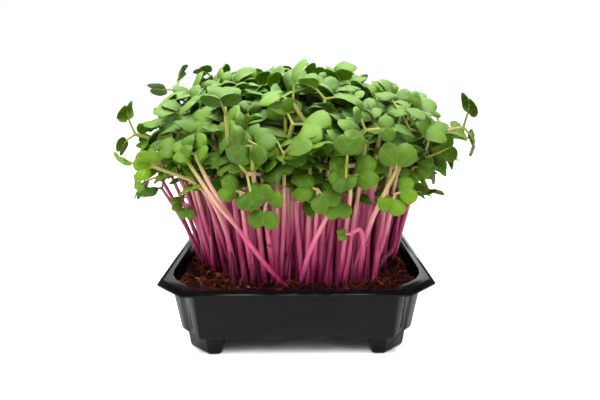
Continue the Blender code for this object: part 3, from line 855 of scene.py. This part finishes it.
class Greens:
    """Collects leaf blades into one mesh, with their tone and the place of each point on its blade."""

    def __init__(self):
        self.verts = []
        self.faces = []
        self.tone = []
        self.blade = []

    def add(self, leaf, tone, rng):
        start = len(self.verts)
        ruffle = rng.uniform(0.0, BLADE_RUFFLE)
        phase = rng.uniform(0, math.tau)
        dome = rng.uniform(*BLADE_DOME) * leaf.width
        for flat, margin, side in BLADE_VERTS:
            x = leaf.petiole + (LEAF_MIDDLE + flat.x) * leaf.width
            y = flat.y * leaf.width
            angle = math.atan2(flat.y, flat.x)
            lobe = dome * (1 - margin**2) * (1 - 0.7 * math.exp(-((flat.y / BLADE_MIDRIB) ** 2)))
            z = leaf.level(x, y) + lobe + ruffle * margin**3 * math.sin(4 * angle + phase)
            z += side * BLADE_THICK / 2 * (1 - 0.75 * margin**6)
            self.verts.append(leaf.place @ Vector((x, y, z)))
            self.tone.append(tone)
            self.blade.append((flat.x + LEAF_MIDDLE, flat.y))
        self.faces += [tuple(start + i for i in face) for face in BLADE_FACES]

    def piece(self, name):
        mesh = bpy.data.meshes.new(name)
        mesh.from_pydata(self.verts, [], self.faces)
        layer = mesh.attributes.new("tone", "FLOAT", "POINT")
        layer.data.foreach_set("value", self.tone)
        layer = mesh.uv_layers.new(name="blade")
        for loop in mesh.loops:
            layer.data[loop.index].uv = self.blade[loop.vertex_index]
        mesh.materials.append(leaf_material)
        piece = new_piece(name, mesh)
        select_only(piece)
        bpy.ops.object.shade_smooth_by_angle(angle=BLADE_SMOOTH_ANGLE)
        return piece


# The points of a stalk, from the stem's head into the blade: how far along the stalk and then along the
# blade, how deep under the blade, and how thick.
STALK_POINTS = (
    (0.0, 0.0, 0.0, 0.00066),
    (0.35, 0.0, 0.0, 0.00055),
    (0.8, 0.0, 0.0, 0.00052),
    (1.0, 0.1, 0.00010, 0.00042),
    (1.0, 0.30, 0.00010, 0.00016),
)
STALK_RADII = [radius for *_, radius in STALK_POINTS]


def stalk(leaf):
    path = []
    for before, within, sunk, _ in STALK_POINTS:
        x = before * leaf.petiole + within * leaf.width
        path.append(leaf.place @ Vector((x, 0, leaf.level(x, 0) - sunk)))
    return path


def near_tone(tone, rng):
    """A leaf's own tone, near that of its seedling."""
    return min(1.0, max(0.0, tone + rng.uniform(-0.15, 0.15)))


def join(pieces, name):
    select_only(pieces[0])
    for piece in pieces:
        piece.select_set(True)
    bpy.ops.object.join()
    joined = bpy.context.object
    joined.name = name
    return joined


rng = random.Random(21)
for tuft in tufts:
    label = f"{tuft.number + 1:02d}"
    lower, upper, lower_radii, upper_radii, tones = [], [], [], [], []
    greens = Greens()
    stalks = []
    for k in range(STEMS_IN_TUFT):
        path, pair = chosen[tuft.number, k]
        tones.append(rng.random())
        full = tuft.lower_path(k)
        lower.append(smooth_path(full, 3))
        lower_radii.append(tapered(STEM_RADIUS_FOOT, STEM_RADIUS_WAIST, len(lower[-1])))
        upper.append([full[-1]] + smooth_path(path, 4))
        upper_radii.append(tapered(STEM_RADIUS_WAIST, STEM_RADIUS_HEAD, len(upper[-1])))
        leaf_tone = rng.random()
        for leaf in pair:
            greens.add(leaf, near_tone(leaf_tone, rng), rng)
            stalks.append(stalk(leaf))
    stems = strands(f"pink_stems_{label}", lower, lower_radii, tones, STEM_SIDES, stem_material)
    settle(stems, f"stems_{label}")
    heads = strands("heads", upper + stalks, upper_radii + [STALK_RADII] * len(stalks),
                    tones + [1.0] * len(stalks), STEM_SIDES, stem_material)
    top = join([greens.piece("blades"), heads], f"green_tops_{label}")
    settle(top, f"leaves_{label}")

# The seedlings in front, which lean out of the stand and hold their leaves flat to the light. Each one is
# given by its foot and the points that its stem runs through, how pale it is, and its leaves' direction,
# face and width.

FRONT_SEEDLINGS = (
    (((-0.013, -0.044), (-0.015, -0.056, 0.055), (-0.0166, -0.061, 0.08), (-0.0169, -0.0615, 0.089)),
     0.9, (((-1, -0.1, 0.12), (0, -0.9, 0.45), 0.0122), ((1, -0.1, 0.3), (0, -0.9, 0.45), 0.0122))),
    (((-0.003, -0.04), (-0.003, -0.046, 0.06), (-0.004, -0.049, 0.0985)), 0.8,
     (((-0.25, -0.45, 0.8), (0, -1, 0.3), 0.0128), ((0.5, 0.8, 0.3), (0, -0.6, 0.8), 0.0128))),
    (((0.022, -0.043), (0.0304, -0.054, 0.056), (0.0346, -0.058, 0.0675), (0.0398, -0.0595, 0.079)),
     1.0, (((0.08, -0.15, 1), (0.1, -1, -0.1), 0.0152),)),
    (((-0.018, -0.042), (-0.02, -0.056, 0.05), (-0.0214, -0.062, 0.071)), 0.8,
     (((-0.9, -0.2, 0.35), (-0.2, -0.85, 0.5), 0.0112), ((0.8, -0.3, -0.25), (0.1, -0.9, 0.4), 0.0118))),
    (((-0.009, -0.044), (-0.011, -0.057, 0.05), (-0.012, -0.0625, 0.0655)), 0.6,
     (((0.35, -0.2, 0.6), (0, -0.9, 0.4), 0.0116), ((-0.1, -0.3, -0.8), (-0.1, -1, 0.3), 0.0122))),
    (((0.006, -0.046), (0.008, -0.057, 0.052), (0.0089, -0.0625, 0.072)), 0.7,
     (((-0.9, -0.1, 0.25), (0, -0.8, 0.6), 0.0122), ((0.5, -0.3, -0.7), (0.2, -0.9, 0.3), 0.0128))),
    (((0.001, -0.047), (0.0051, -0.056, 0.0438), (0.0122, -0.0605, 0.06), (0.0165, -0.061, 0.068)),
     1.0, (((0.1, -0.25, -1), (0.3, -1, 0.2), 0.0108),)),
    (((0.0262, -0.044), (0.0278, -0.053, 0.046), (0.026, -0.0575, 0.0545), (0.0222, -0.06, 0.0535)),
     0.8, (((-1, -0.1, -0.05), (0, -0.7, 0.75), 0.0062),)),
    (((0.018, -0.046), (0.0205, -0.056, 0.055), (0.0223, -0.0615, 0.077)), 0.8,
     (((-0.9, -0.2, 0.25), (0, -0.8, 0.6), 0.014), ((0.85, -0.3, 0.3), (0.1, -0.8, 0.6), 0.0146))),
    (((0.032, -0.035), (0.037, -0.05, 0.05), (0.04, -0.0565, 0.069)), 0.9,
     (((-0.3, -0.4, -0.7), (0, -0.9, 0.3), 0.0118), ((0.8, -0.2, 0.3), (0.3, -0.8, 0.5), 0.0115))),
    (((-0.0015, -0.0505), (-0.0138, -0.056, 0.0415), (-0.0317, -0.0565, 0.0684), (-0.041, -0.05, 0.085)),
     0.7, (((-0.8, -0.4, 0.2), (-0.3, -0.7, 0.7), 0.012), ((0.6, -0.5, 0.5), (0, -0.8, 0.6), 0.012))),
    (((-0.018, -0.042), (-0.0203, -0.055, 0.0495), (-0.0325, -0.0575, 0.0667), (-0.047, -0.048, 0.086)),
     0.9, (((-0.9, -0.2, 0.3), (-0.3, -0.6, 0.8), 0.0118), ((0.4, -0.6, 0.4), (0, -0.8, 0.6), 0.0118))),
    (((-0.025, -0.038), (-0.0302, -0.05, 0.056), (-0.04, -0.05, 0.072), (-0.059, -0.044, 0.079)),
     1.0, (((-1, -0.2, -0.2), (-0.2, -0.8, 0.5), 0.0112), ((-0.3, -0.4, 0.8), (-0.3, -0.9, 0.2), 0.0112))),
    (((0.035, -0.0385), (0.035, -0.0415, 0.0325), (0.0382, -0.041, 0.0385), (0.0427, -0.036, 0.042),
      (0.046, -0.03, 0.056), (0.052, -0.027, 0.076)), 0.0,
     (((0.8, -0.4, 0.1), (0.2, -0.8, 0.6), 0.0108), ((-0.4, -0.6, -0.5), (0, -0.9, 0.4), 0.0105))),
    (((-0.038, -0.014), (-0.044, -0.02, 0.045), (-0.049, -0.027, 0.06)), 0.8,
     (((-0.1, -0.3, -1), (-0.3, -0.9, 0.1), 0.0085), ((-0.9, -0.3, 0.1), (-0.2, -0.7, 0.7), 0.008))),
)
FRONT_SEEDLING_TONES = (0.35, 0.8)
FRONT_FOOT_HEIGHT = 0.025
FRONT_SAG = (-0.1, 0.25)
FRONT_DROOP = (0.0, 0.5)
FRONT_FOLD = (-0.1, 0.4)
FRONT_PETIOLE = 0.0022
FRONT_FIRST_RADIUS = 0.00125
FRONT_LAST_RADIUS = 0.00080


def posed_leaf(head, axis, face, width):
    """A leaf that points along axis from the stem's head, with its upper side towards face."""
    axis = Vector(axis).normalized()
    face = Vector(face)
    face = (face - axis * face.dot(axis)).normalized()
    turn = Matrix((axis, face.cross(axis), face)).transposed().to_4x4()
    sag = front_rng.uniform(*FRONT_SAG)
    droop = front_rng.uniform(*FRONT_DROOP)
    fold = front_rng.uniform(*FRONT_FOLD)
    return Leaf(width, FRONT_PETIOLE, sag, droop, fold, Matrix.Translation(head) @ turn)


def settle_greens(greens, stalks, name):
    """Blades and their stalks as one piece."""
    radii = [STALK_RADII] * len(stalks)
    tones = [1.0] * len(stalks)
    stalk_piece = strands("stalks", stalks, radii, tones, STALK_SIDES, stem_material)
    settle(join([greens.piece("blades"), stalk_piece], name))


front_rng = random.Random(8)
front_leaves = []
paths, radii, tones, stalks = [], [], [], []
greens = Greens()
for (foot, *points), pale, leaves in FRONT_SEEDLINGS:
    path = smooth_path([Vector((*foot, FRONT_FOOT_HEIGHT))] + [Vector(point) for point in points], 5)
    paths.append(path)
    radii.append(tapered(FRONT_FIRST_RADIUS, FRONT_LAST_RADIUS, len(path)))
    tones.append(pale)
    tone = front_rng.uniform(*FRONT_SEEDLING_TONES)
    for axis, face, width in leaves:
        leaf = posed_leaf(path[-1], axis, face, width)
        front_leaves.append(leaf)
        greens.add(leaf, tone + front_rng.uniform(-0.1, 0.1), front_rng)
        stalks.append(stalk(leaf))
stems = strands("front_stems", paths, radii, tones, STEM_SIDES, stem_material)
settle(stems)
settle_greens(greens, stalks, "front_leaves")

# The rest of the stand: single seedlings between the tufts, which make it dense, then a fringe round its edge
# and a row at the front and the back. Of a few ways to hold its leaves each seedling takes the one that meets
# its neighbours least. Most leaves still cross some others.

CROWD = 500
CROWD_TRIES = 7
CROWD_GROUPS = 6
CROWD_DRAWN_IN = 0.87
CROWD_FOOT_SCATTER = 0.0022
CROWD_CROWN_SCATTER = 0.007
CROWD_LOWER_BY = 0.007
CROWD_EDGE_LOWER_BY = 0.014
CROWD_HEAD_SCATTER = 0.006
CROWD_STEM_POINTS = 10
CROWD_LEAN = 0.3
CROWD_LEAF_WIDTH = LEAF_WIDTH * 0.97
CROWD_STEM_SHARES = (0.78, 1.05)
FRINGE = 120
FRINGE_FEET = (0.78, 0.97)
FRINGE_DRAWN_IN = (0.82, 0.98)
FRINGE_HEADS = (0.0680, 0.0930)
FRONT_ROW = 24
FRONT_ROW_ENDS = (-0.026, 0.035)
FRONT_ROW_FEET = (0.0445, 0.0490)
FRONT_ROW_SPREAD = (1.0, 1.3)
FRONT_ROW_OUT = (0.044, 0.052)
FRONT_ROW_HEADS = (0.080, 0.098)
CROWD_NEAR = 0.0020
LIGHT_FROM = Vector((0, -1, 0.12)).normalized()

crowd_rng = random.Random(31)
taken = {}


def cell_of(point):
    return tuple(math.floor(value / CROWD_NEAR) for value in point)


def crossings(points):
    """How many times one of these points lies close to a point of the leaves that are there already."""
    count = 0
    for point in points:
        x, y, z = cell_of(point)
        for dx, dy, dz in itertools.product((-1, 0, 1), repeat=3):
            for other in taken.get((x + dx, y + dy, z + dz), ()):
                if (other - point).length < CROWD_NEAR:
                    count += 1
    return count


def leaf_samples(leaf):
    """Points over the blade: its middle, a ring half way out and its outline."""
    samples = []
    for share in (0.0, 0.5, 1.0):
        for i in range(8 if share else 1):
            flat = blade_outline(math.pi * (i / 4 - 1)) * share
            x = leaf.petiole + (LEAF_MIDDLE + flat.x) * leaf.width
            y = flat.y * leaf.width
            samples.append(leaf.place @ Vector((x, y, leaf.level(x, y))))
    return samples


def occupy(points):
    for point in points:
        taken.setdefault(cell_of(point), []).append(point)


def shades_front(points):
    """Whether a leaf hangs before one of the front seedlings' leaves, which hold their faces to the light."""
    for leaf in front_leaves:
        centre = leaf.place @ Vector((leaf.petiole + 0.45 * leaf.width, 0, 0))
        for point in points:
            gap = point - centre
            along = gap.dot(LIGHT_FROM)
            if along > -0.002 and (gap - LIGHT_FROM * along).length < 0.6 * leaf.width:
                return True
    return False


for leaf in [leaf for _, pair in chosen.values() for leaf in pair] + front_leaves:
    occupy(leaf_samples(leaf))

crowd = []
for foot in spread_feet(CROWD):
    foot = foot + scatter(crowd_rng, 2) * CROWD_FOOT_SCATTER
    out = sown_radius(foot.x, foot.y)
    crown = flared(foot) * CROWD_DRAWN_IN
    crown += scatter(crowd_rng, 2) * CROWD_CROWN_SCATTER
    lower_by = CROWD_LOWER_BY + CROWD_EDGE_LOWER_BY * out
    crown.z = crown_height(foot, crowd_rng) - lower_by * crowd_rng.random() ** 1.5
    crowd.append((foot, crown))
for i in range(FRINGE):
    x, y = golden_direction(i)
    reach = crowd_rng.uniform(*FRINGE_FEET) / sown_radius(x, y)
    foot = Vector((x * reach, y * reach, 0))
    crown = flared(foot) * crowd_rng.uniform(*FRINGE_DRAWN_IN)
    crown.z = crowd_rng.uniform(*FRINGE_HEADS)
    crowd.append((foot, crown))
for i in range(FRONT_ROW):
    for side in (-1, 1):
        first, last = FRONT_ROW_ENDS
        x = first + (last - first) * i / FRONT_ROW
        foot = Vector((x, side * crowd_rng.uniform(*FRONT_ROW_FEET), 0))
        across = x * crowd_rng.uniform(*FRONT_ROW_SPREAD)
        out = side * crowd_rng.uniform(*FRONT_ROW_OUT)
        crowd.append((foot, Vector((across, out, crowd_rng.uniform(*FRONT_ROW_HEADS)))))

groups = [([], [], [], [], Greens()) for _ in range(CROWD_GROUPS)]
for number, (foot, crown) in enumerate(crowd):
    start = Vector((foot.x, foot.y, COIR_TOP - 0.004))
    best = None
    for attempt in range(CROWD_TRIES):
        stray = scatter(crowd_rng, 3)
        head = crown + stray * CROWD_HEAD_SCATTER
        bend = start.lerp(head, 0.25) + stray * 0.003
        bend.z = start.z + 0.5 * (head.z - start.z)
        last = CROWD_STEM_POINTS - 1
        path = [bezier(start, bend, head, i / last) for i in range(CROWD_STEM_POINTS)]
        lean = OUTWARD_LEAN + CROWD_LEAN * crowd_rng.random()
        up = (path[-1] - path[-2]).normalized() + outward(head) * lean
        pair = leaf_pair(head, up, crowd_rng.uniform(0, math.tau), crowd_rng, CROWD_LEAF_WIDTH)
        points = [point for leaf in pair for point in leaf_samples(leaf)]
        if stand_reach(pair) > 1 or shades_front(points):
            continue
        count = crossings(points)
        if best is None or count < best[0]:
            best = (count, path, pair, points)
        if count == 0:
            break
    if best is None:
        continue
    count, path, pair, points = best
    occupy(points)
    lower, lower_radii, tones, stalks, greens = groups[number % CROWD_GROUPS]
    scale = crowd_rng.uniform(*CROWD_STEM_SHARES)
    lower.append(path)
    lower_radii.append([radius * scale for radius in tapered(STEM_RADIUS_FOOT, STEM_RADIUS_HEAD, len(path))])
    tones.append(crowd_rng.random())
    # Leaves lower in the stand get a darker tone: painted shade, on top of a random tone.
    tone = crowd_rng.random() * (0.35 + 0.65 * min(1.0, path[-1].z / CROWN_TOP))
    for leaf in pair:
        greens.add(leaf, near_tone(tone, crowd_rng), crowd_rng)
        stalks.append(stalk(leaf))
for number, (lower, lower_radii, tones, stalks, greens) in enumerate(groups):
    stems = strands(f"crowd_stems_{number + 1}", lower, lower_radii, tones, STEM_SIDES, stem_material)
    settle(stems)
    settle_greens(greens, stalks, f"crowd_leaves_{number + 1}")

# Seed hulls: the split brown skins of the seeds. Two cling to stems, and more lie on the coir.

HULL_SIZE = (0.0016, 0.0012, 0.0009)
HULL_SIZE_SHARES = (0.75, 1.15)
HULL_BROWN = (0.13, 0.035, 0.012, 1)
HULL_TAN = (0.36, 0.17, 0.07, 1)
HULLS_HELD = ((0.0283, -0.0529, 0.0475), (-0.0109, -0.0575, 0.0480))
HULLS_LYING = 22

hull_material, shader = finish("seed_hull", Roughness=0.5, Specular_IOR_Level=0.3)
hull_colour = mottled(hull_material, Ground=HULL_BROWN, Patch=HULL_TAN, Scale=500.0, Amount=0.8)
feed(shader, "Base Color", hull_colour.outputs["Color"])
bump_from(shader, hull_colour.outputs["Height"], strength=0.4, distance=0.0002)

bpy.ops.object.select_all(action="DESELECT")
bpy.ops.mesh.primitive_ico_sphere_add(subdivisions=2, radius=1.0)
hull = bpy.context.object
hull.name = "hull"
for vert in hull.data.vertices:
    vert.co.z *= 0.55 + 0.45 * abs(vert.co.y)
hull_rng = random.Random(14)
hull_places = [Vector(place) for place in HULLS_HELD]
while len(hull_places) < len(HULLS_HELD) + HULLS_LYING:
    x = hull_rng.uniform(-1, 1) * coir_half.x * 0.9
    y = hull_rng.uniform(-1, 1) * coir_half.y * 0.9
    if coir_share(x, y) < 0.9 and sown_radius(x, y) > 0.9:
        hull_places.append(Vector((x, y, coir_height(x, y) + 0.0004)))
copies = []
for place in hull_places:
    copy = new_piece("hull_copy", hull.data.copy())
    turn = Matrix.Rotation(hull_rng.uniform(0, math.tau), 4, "Z")
    tip = Matrix.Rotation(hull_rng.uniform(-1, 1), 4, "X")
    size = Matrix.Diagonal((*HULL_SIZE, 1)) * hull_rng.uniform(*HULL_SIZE_SHARES)
    size[3][3] = 1.0
    copy.data.transform(Matrix.Translation(place) @ (turn @ tip) @ size)
    copies.append(copy)
bpy.data.objects.remove(hull)
hulls = join(copies, "seed_hulls")
bpy.ops.object.shade_smooth()
hulls.data.materials.append(hull_material)
settle(hulls)

# The stage: a plain pale floor under soft studio light, seen from where the photograph was taken. Away from
# the tray the floor glows for the camera alone, so that it is as white as the photograph's ground.

FLOOR_SIZE = 30.0
FLOOR_GLOW = (0.047, 0.061)
FLOOR_NARROW = 1.25
CAMERA_PLACE = (0.0018, -0.3209, 0.1141)
CAMERA_PITCH = math.radians(10.14)
CAMERA_ROLL = math.radians(-0.33)
FOCAL_PIXELS = 667
FRAME_WIDTH = 600
SENSOR = 36.0

bpy.ops.object.select_all(action="DESELECT")
bpy.ops.mesh.primitive_plane_add(size=FLOOR_SIZE)
floor = bpy.context.object
floor.name = "floor"
floor_material, shader = finish(
    "floor_white", Base_Color=(0.92, 0.92, 0.92, 1), Roughness=0.9, Specular_IOR_Level=0.1,
    Emission_Color=(1, 1, 1, 1),
)
tree = floor_material.node_tree
place = add_node(tree, "ShaderNodeTexCoord")
apart = add_node(tree, "ShaderNodeVectorMath", {0: place.outputs["Object"]}, operation="ABSOLUTE")
sides = add_node(tree, "ShaderNodeSeparateXYZ", {"Vector": apart.outputs["Vector"]})
wide = reckon(tree, "MULTIPLY", sides.outputs["X"], FLOOR_NARROW)
reach = reckon(tree, "MAXIMUM", wide, sides.outputs["Y"])
# The glow begins just outside the tray, so this mask sets the edge of the shadow round the tray: a painted
# shadow edge, with the floor glowing as painted light beyond it.
painted_glow = remap(tree, reach, FLOOR_GLOW, interpolation_type="SMOOTHSTEP")
seen = add_node(tree, "ShaderNodeLightPath")
feed(shader, "Emission Strength", reckon(tree, "MULTIPLY", painted_glow, seen.outputs["Is Camera Ray"]))
floor.data.materials.append(floor_material)


def area_light(name, place, target, width, length, power):
    lamp = bpy.data.lights.new(name, "AREA")
    lamp.shape = "RECTANGLE"
    lamp.size = width
    lamp.size_y = length
    lamp.energy = power
    light = new_piece(name, lamp)
    light.location = place
    light.rotation_euler = (Vector(target) - Vector(place)).to_track_quat("-Z", "Y").to_euler()


area_light("top", (-0.05, -0.22, 0.95), (0, 0, 0.07), 0.9, 0.6, 13.0)
area_light("front_left_strip", (-0.145, -0.69, 0.68), (-0.145, -0.065, 0.03), 0.07, 0.5, 2.2)
area_light("front_right_strip", (0.145, -0.69, 0.68), (0.145, -0.065, 0.03), 0.09, 0.5, 2.2)
area_light("back_left", (-0.25, 0.80, 0.28), (-0.06, -0.05, 0.03), 0.25, 0.2, 0.15)
area_light("back_right", (0.27, 0.80, 0.28), (0.06, -0.05, 0.03), 0.25, 0.2, 0.25)
area_light("left_strip", (-0.75, -0.40, 0.20), (0, 0, 0.03), 0.10, 0.4, 2.6)
area_light("right_strip", (0.72, -0.50, 0.18), (0, 0, 0.03), 0.06, 0.4, 1.6)

camera = new_piece("camera", bpy.data.cameras.new("camera"))
camera.data.sensor_width = SENSOR
camera.data.lens = FOCAL_PIXELS / FRAME_WIDTH * SENSOR
camera.location = CAMERA_PLACE
turn = Matrix.Rotation(math.pi / 2 - CAMERA_PITCH, 4, "X") @ Matrix.Rotation(CAMERA_ROLL, 4, "Z")
camera.rotation_euler = turn.to_euler()
bpy.context.scene.camera = camera
bpy.context.scene.view_settings.view_transform = "Standard"

# The sky of the studio: white where the camera sees it, soft grey as light, and darker in glossy mirrors.

SKY_SEEN = (1, 1, 1, 1)
SKY_LIGHT = (0.17, 0.17, 0.17, 1)
SKY_MIRRORED = (0.10, 0.10, 0.10, 1)

world = bpy.data.worlds.new("studio")
bpy.context.scene.world = world
world.use_nodes = True
tree = world.node_tree
seen = add_node(tree, "ShaderNodeLightPath")
mirrored = mix_colours(tree, seen.outputs["Is Glossy Ray"], SKY_LIGHT, SKY_MIRRORED)
tint = mix_colours(tree, seen.outputs["Is Camera Ray"], mirrored, SKY_SEEN)
feed(tree.nodes["Background"], "Color", tint)
